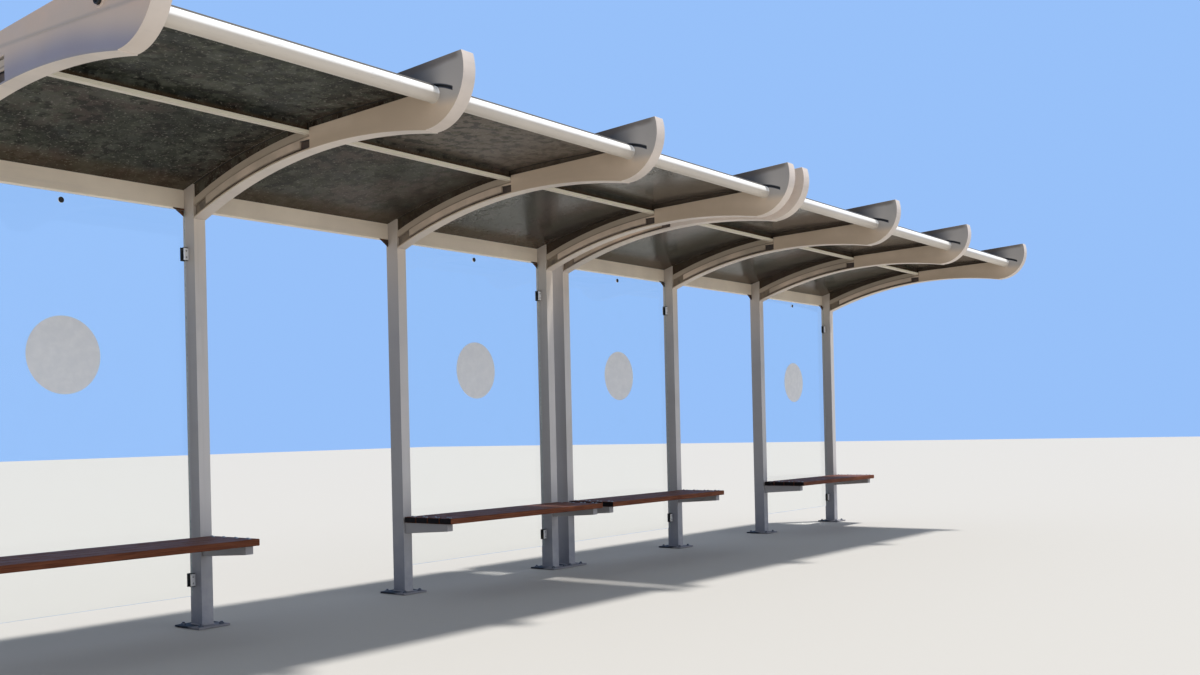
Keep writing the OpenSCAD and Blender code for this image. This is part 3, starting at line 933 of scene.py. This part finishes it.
def block(name, finish, low, high, rounding, taper=1.0):
    """A rounded block between two corners, with its top scaled about its own middle."""
    middle, size = (Vector(low) + Vector(high)) / 2, Vector(high) - Vector(low)
    bpy.ops.object.select_all(action="DESELECT")
    bpy.ops.mesh.primitive_cube_add(size=1, location=middle)
    piece = bpy.context.object
    piece.name = name
    piece.scale = size
    bpy.ops.object.transform_apply(location=True, rotation=True, scale=True)
    if taper != 1.0:
        edit(piece, "FACE", lambda face: face.normal.z > 0.9)
        bpy.ops.transform.resize(value=(taper, taper, 1), center_override=middle)
        edit_done()
    wear(piece, finish)
    round_edges(piece, rounding)
    return piece


def joined(name, *pieces):
    select_only(*pieces)
    if len(pieces) > 1:
        bpy.ops.object.join()
    pieces[0].name = name
    return pieces[0]


def placed(name, template, places):
    """Copies of a small part, each with its own mesh, joined into one piece at the origin."""
    copies = []
    for place in places:
        copy = bpy.data.objects.new(template.name + "_copy", template.data.copy())
        copy.data.transform(place)
        bpy.context.collection.objects.link(copy)
        copies.append(copy)
    bpy.data.objects.remove(template)
    piece = joined(name, *copies)
    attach(piece, "root")
    return piece


def at(x, y, z):
    return Matrix.Translation((x, y, z))


ON_LEFT = Matrix.Rotation(-math.pi / 2, 4, "Y")
ON_RIGHT = Matrix.Rotation(math.pi / 2, 4, "Y")
ON_STREET = Matrix.Rotation(math.pi / 2, 4, "X")
ON_BACK = Matrix.Rotation(-math.pi / 2, 4, "X")
print("piece helpers ready")

# %% [markdown]
# ## Posts and base plates
# Each post is a box section with softly rounded corners, welded to its plate with a bead all
# round, and the plate is held by four studs with washers and hexagon nuts. The bead is a low
# block whose top is drawn in to the post, because a weld is a slope between two faces.

# %% Dress the posts, their welds and their anchors
POSTS = numbered("post", 8)
POST_X = [(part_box(name)[0].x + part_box(name)[1].x) / 2 for name in POSTS]
POST_W, POST_D, PLATE_T = 0.072, 0.100, 0.010
ANCHOR_X, ANCHOR_Y = 0.130, 0.160
WELD = 0.006

for name in POSTS:
    dressed(name, 0.006, "post", segments=3)


def anchor():
    washer = stacked("washer", "zinc", 20, (0.0150, 0), (0.0150, 0.002), (0.0142, 0.0025),
                     (0.008, 0.0025))
    nut = stacked("nut", "zinc", 6, (0.0115, 0.0025), (0.0128, 0.0035), (0.0128, 0.0095),
                  (0.0115, 0.0105))
    stud = stacked("stud", "zinc", 14, (0.0075, 0.0025), (0.0075, 0.0155), (0.0062, 0.0170))
    return joined("anchor", washer, nut, stud)


weld = block("foot_weld", "post", (-POST_W / 2 - WELD, -POST_D / 2 - WELD, PLATE_T - 0.002),
             (POST_W / 2 + WELD, POST_D / 2 + WELD, PLATE_T + WELD), rounding=0.002, taper=0.90)
placed("foot_welds", weld, [at(x, 0, 0) for x in POST_X])
anchors = placed("anchors", anchor(),
                 [at(x + sx * ANCHOR_X / 2, sy * ANCHOR_Y / 2, PLATE_T)
                  for x in POST_X for sx in (-1, 1) for sy in (-1, 1)])
print("posts:", len(POSTS), "anchor faces:", len(anchors.data.polygons))

# %% [markdown]
# ## Ribs
# The rib is the piece that makes this shelter: a flange strip, a web, and two side plates that
# swing up into a nose. It keeps the frame's exact curve. The corner at the top of the nose is
# ground to a larger radius than the other edges, so that edge is bevelled first, by itself. The
# paint is chosen face by face: by the way a face looks, by how far it stands from the middle of
# the rib, and by its distance over the rib's lower edge.

# %% Dress the ribs
STRIP_HIGH, WEB_HALF, GROOVE_HALF, NEAR = 0.107, 0.022, 0.029, 0.001
FRAME, OUTER, FIN, WEB, SEAL_AND_SHADE = range(5)


def has_roof(index, side):
    return index % 4 != 0 if side < 0 else index % 4 != 3


def round_nose(rib):
    corners = rib.data.vertices
    at_tip = {corner.index for corner in corners
              if corner.co.y < NOSE_Y + NEAR and corner.co.z > TIP_Z - 2 * NEAR}
    edit(rib, "EDGE", lambda edge: set(edge.vertices) <= at_tip)
    bpy.ops.mesh.bevel(offset=0.020, segments=5, affect="EDGES")
    edit_done()


def rib_finish(face, rib_x, roofed, at_end):
    """The finish of one face of a rib, by the way it looks and where it lies."""
    off = abs(face.center.x - rib_x)
    if abs(face.normal.x) > 0.9:
        if off < WEB_HALF + NEAR:
            return WEB
        if off < GROOVE_HALF + NEAR:
            return SEAL_AND_SHADE
        if roofed:
            return FIN
        return OUTER if at_end else FRAME
    depth = math.hypot(face.center.y - ARCH_Y, face.center.z - ARCH_CENTRE_Z) - ARCH_R
    # Painted shade: faces that look down under the sheet get the dark rubber finish, as do the seal
    # strips and the sheet's slot.
    under_sheet = depth > STRIP_HIGH + NEAR and face.center.y >= LIP_Y and face.normal.z < -0.05
    in_slot = off > GROOVE_HALF - NEAR and in_groove(face.center)
    return SEAL_AND_SHADE if roofed and (in_slot or under_sheet) else FRAME


def in_groove(point):
    """True inside the slot that takes the side edge of a roof sheet."""
    if not -1.975 < point.y < -1.740:
        return False
    reach = math.hypot(point.y - LIP_Y, point.z - (SHEET_Z - LIP_R)) - LIP_R
    return -0.0012 < reach < SHEET_T + 0.0012


def dress_rib(index, name):
    rib = dressed(name, 0.0, "frame", "outer plate", "fin plate", "web", "rubber", merge_only=True)
    round_nose(rib)
    round_edges(rib, 0.0022)
    middle, at_end = POST_X[index], index in (0, 7)
    for face in rib.data.polygons:
        roofed = has_roof(index, 1 if face.center.x > middle else -1)
        face.material_index = rib_finish(face, middle, roofed, at_end)
    print(name, "faces:", len(rib.data.polygons))


for index, name in enumerate(numbered("rib", 8)):
    dress_rib(index, name)

# %% [markdown]
# ## Details of the end ribs
# The outer face of an end rib is closed. It has a cable hole with a rubber grommet, which is a
# cup turned from five rings, and a shallow weld seam where two plates meet under the paint. The
# seam is a long thin block with round edges, set at the slope that the photograph shows.

# %% Add grommets, seams and post caps
RIB_HALF = 0.039
END_FACES = [(POST_X[0] - RIB_HALF, -1, ON_LEFT), (POST_X[7] + RIB_HALF, 1, ON_RIGHT)]
HOLE_Y, HOLE_Z, HOLE_RING = -1.697, 2.566, 0.003

grommet = stacked("grommet", "rubber", 28, (0.0215, -0.008), (0.0215, 0.0015), (0.019, 0.0025),
                  (0.0165, 0.0015), (0.015, -0.006))
placed("cable_grommets", grommet, [at(x + side * HOLE_RING, HOLE_Y, HOLE_Z) @ turn
                                   for x, side, turn in END_FACES])

half = (SEAM_FRONT - SEAM_BACK).length / 2
seam = block("seam", "outer plate", (-0.001, -half, -0.003), (0.0012, half, 0.003), rounding=0.0009)
slope = math.atan2(SEAM_BACK.z - SEAM_FRONT.z, SEAM_BACK.y - SEAM_FRONT.y)
middle = (SEAM_BACK + SEAM_FRONT) / 2
placed("rib_seams", seam, [at(x, middle.y, middle.z) @ Matrix.Rotation(slope, 4, "X")
                           for x, side, turn in END_FACES])

cap = block("post_cap", "post", (-0.034, -0.048, 2.399), (0.034, 0.048, 2.406),
            rounding=0.0015, taper=0.86)
placed("post_caps", cap, [at(x, 0, 0) for x in POST_X])
print("seam slope:", round(math.degrees(slope), 2), "degrees")

# %% [markdown]
# ## Channels, seals, beams and gussets
# A folded channel runs along both sides of each rib and closes the gap under the sheet. The
# seals behind it are as dirty as the sheets, and share their finish. The rear beams are long
# boxes between the posts. All of these keep the frame's shape, so each is a dressed copy with
# the rounding that its sheet metal would have.

# %% Dress channels, seals, beams and gussets
dressed("rib_channels", 0.0012, "channel")
dressed("roof_seals", 0.0, "roof")
for name in numbered("rear_beam", 2):
    dressed(name, 0.003, "beam")
dressed("gussets", 0.001, "gusset")
print("rib side and beams done")

# %% [markdown]
# ## Front tube and purlins
# A round tube carries the front of the roof. It is smooth all round, so its long faces are
# shaded as one. Where it meets a rib there is a weld bead, turned as a short stack of rings. A
# purlin carries the middle of the sheets. Each purlin end sits in a cleat on the rib, and the
# cleat stands on a dark rubber bed that shows as a thin line around it: painted shade of the gap.

# %% Dress the tubes and purlins, and add their beads
TUBE_Y, TUBE_R = -1.858, 0.0365
TUBE_Z = TUBE_LOW.z + TUBE_R
CLEAT_HALF = 0.0362
BAYS = [x for index, x in enumerate(POST_X) if has_roof(index, 1)]

for name in numbered("front_tube", 2):
    dressed(name, 0.0, "tube")
for name in numbered("purlin", 2):
    purlin = dressed(name, 0.0015, "tube", "channel")
    for face in purlin.data.polygons:
        face.material_index = 1 if min(abs(face.center.x - x) for x in POST_X) < CLEAT_HALF else 0

bead = stacked("tube_bead", "tube", 48, (TUBE_R + 0.0025, -0.002), (TUBE_R + 0.0025, 0.001),
               (TUBE_R + 0.0015, 0.0025), (TUBE_R - 0.001, 0.0035))
round_edges(bead, 0.0)
bead_places = [at(x + end, TUBE_Y, TUBE_Z) @ turn for x in BAYS
               for end, turn in ((RIB_HALF, ON_RIGHT), (BAY - RIB_HALF, ON_LEFT))]
placed("tube_beads", bead, bead_places)

CLEAT_LOW, CLEAT_HIGH = Vector((0.022, -1.012, 2.458)), Vector((0.036, -0.937, 2.501))


def both_sides(piece):
    """A second copy of a small part on the other side of its rib, turned half round in place."""
    middle = (Vector(piece.bound_box[0]) + Vector(piece.bound_box[6])) / 2
    half_turn = Matrix.Rotation(math.pi, 4, "Z")
    turned = at(-middle.x, middle.y, middle.z) @ half_turn @ at(-middle.x, -middle.y, -middle.z)
    return [at(0, 0, 0), turned]


# Painted shade: a dark rubber bed under each cleat shows as a thin dark line around it.
edge = Vector((0, 0.0025, 0.0025))
shade_bed = block("cleat_shade_bed", "rubber", CLEAT_LOW - edge, CLEAT_HIGH + edge - Vector((0.005, 0, 0)),
            rounding=0.001)
placed("cleat_shade_beds", shade_bed, [at(x, 0, 0) @ side for x in POST_X for side in both_sides(shade_bed)])
print("tube beads:", len(bead_places))

# %% [markdown]
# ## Roof sheets
# Each sheet is one thin curved plate. Its edges are rounded only a little, as a saw and a file
# leave them. Domed screws with rubber washers hold it down on the purlin, on the front tube and
# along the rear beam. A screw stands square to the sheet, so its turn comes from the sheet's own
# arc at that place.

# %% Dress the roof sheets and screw them down
SCREW_ROWS = (-0.040, PURLIN_Y, -1.838)
SCREWS = 5

for name in numbered("roof", 6):
    dressed(name, 0.0015, "roof")


def on_sheet(x, y):
    """The place and turn of a screw on top of the sheet."""
    centre_y, radius = (SHEET_Y, SHEET_R) if y > SHEET_Y else (LIP_Y, LIP_R)
    outer = radius + SHEET_T
    lean = math.asin((y - centre_y) / outer)
    return at(x, y, SHEET_Z - radius + outer * math.cos(lean)) @ Matrix.Rotation(-lean, 4, "X")


washer = stacked("washer", "rubber", 18, (0.0095, -0.0005), (0.0095, 0.002), (0.008, 0.003))
head = stacked("head", "zinc", 18, (0.0065, 0.0025), (0.0062, 0.0045), (0.0048, 0.006),
               (0.0025, 0.0066))
screw_places = [on_sheet(x + 0.12 + step * (BAY - 0.24) / (SCREWS - 1), y)
                for x in BAYS for y in SCREW_ROWS for step in range(SCREWS)]
placed("sheet_screws", joined("sheet_screw", washer, head), screw_places)
print("sheet screws:", len(screw_places))

# %% [markdown]
# ## Glass, film and clamps
# The panes are ground round at the edges, which is where real glass shows its colour. Each clamp
# is a rubber block that grips the pane, between two bright cover plates with sunk screws. A
# thin gasket shows as a dark line all round the plate. The stud near the top of a pane has a
# metal ring and a black face.

# %% Dress the glass and its fittings
GLASS_Y, CLAMP_D, CLAMP_REACH = 0.022, 0.024, 0.028
CLAMP_Z = (0.252, 2.008)
COVER_W, COVER_H, COVER_T = 0.029, 0.067, 0.008

for name in numbered("glass", 4):
    pane = dressed(name, 0.0012, "glass", "glass edge")
    for face in pane.data.polygons:
        face.material_index = 0 if abs(face.normal.y) > 0.9 else 1
dressed("glass_discs", 0.0, "film")
clamps = dressed("glass_clamps", 0.002, "rubber", "clamp", segments=3)

cover = block("clamp_cover", "clamp", (-COVER_W / 2, -COVER_H / 2, 0),
              (COVER_W / 2, COVER_H / 2, COVER_T), rounding=0.001, taper=0.94)
gasket = block("clamp_gasket", "rubber", (-COVER_W / 2 - 0.003, -COVER_H / 2 - 0.003, -0.001),
               (COVER_W / 2 + 0.003, COVER_H / 2 + 0.003, 0.0025), rounding=0.0008)
screw = stacked("clamp_screw", "zinc", 16, (0.0045, -0.001), (0.0045, 0.0006), (0.0037, 0.0012),
                (0.0022, 0.0010), (0.0019, -0.0004))
clamp_x = [x + side * (POST_W + CLAMP_REACH) / 2 for index, x in enumerate(POST_X)
           for side in (-1, 1) if index % 4 + min(side, 0) in (0, 2)]
cover_places = [at(x, GLASS_Y + face_y, z) @ turn for x in clamp_x for z in CLAMP_Z
                for face_y, turn in ((-CLAMP_D / 2, ON_STREET), (CLAMP_D / 2, ON_BACK))]
screw_places = [place @ at(0, up, COVER_T) for place in cover_places for up in (-0.017, 0.017)]
placed("clamp_covers", cover, cover_places)
placed("clamp_gaskets", gasket, cover_places)
placed("clamp_screws", screw, screw_places)
for face in clamps.data.polygons:
    face.material_index = 1 if face.center.z > 2.1 and abs(face.normal.y) < 0.3 else 0
print("clamps:", len(cover_places) // 2)

# %% [markdown]
# ## Benches
# Four planks lie on two box arms. A plank's long edges are rounded by a router, so they get a
# wide bevel of four steps. Coach bolts with domed heads go through each plank over the arms, and
# a cover plate closes the front end of each arm.

# %% Dress the planks and arms, and bolt them together
SEAT_TOP, SEAT_FRONT, SLAT_STEP, SLAT_W = 0.486, -0.466, 0.103, 0.097
ARM_FRONT, ARM_LOW, ARM_HIGH, ARM_W = -0.421, 0.404, 0.450, 0.050
ARM_ROOT_Y, ARM_DEEPER = -0.050, 0.024
GLAZED_BAYS = [BAYS[0], BAYS[2], BAYS[3], BAYS[5]]

for name in numbered("seat", 4):
    dressed(name, 0.005, "wood", segments=4)


def deepen_roots(arms):
    """The arms are deeper at the post: the back end of each underside is pulled down."""
    edit(arms, "VERT", lambda corner: (corner.co.z < ARM_LOW + NEAR
                                       and corner.co.y > ARM_ROOT_Y - NEAR))
    bpy.ops.transform.translate(value=(0, 0, -ARM_DEEPER))
    edit_done()


arms = dressed("seat_arms", 0.0, "arm", merge_only=True)
deepen_roots(arms)
round_edges(arms, 0.003, 3)

bolt = stacked("coach_bolt", "zinc", 16, (0.0085, -0.002), (0.0085, 0.0004), (0.0075, 0.0016),
               (0.0050, 0.0027), (0.0022, 0.0031))
cover = block("arm_cover", "arm", (-ARM_W / 2 + 0.001, ARM_FRONT - 0.003, ARM_LOW + 0.001),
              (ARM_W / 2 - 0.001, ARM_FRONT + 0.001, ARM_HIGH - 0.001), rounding=0.0012)
arm_x = [x + end * BAY for x in GLAZED_BAYS for end in (0, 1)]
slat_y = [SEAT_FRONT + SLAT_W / 2 + slat * SLAT_STEP for slat in range(4)]
bolt_places = [at(x + side * 0.012, y + side * 0.024, SEAT_TOP)
               for x in arm_x for y in slat_y for side in (-1, 1)]
placed("coach_bolts", bolt, bolt_places)
placed("arm_covers", cover, [at(x, 0, 0) for x in arm_x])
print("coach bolts:", len(bolt_places))
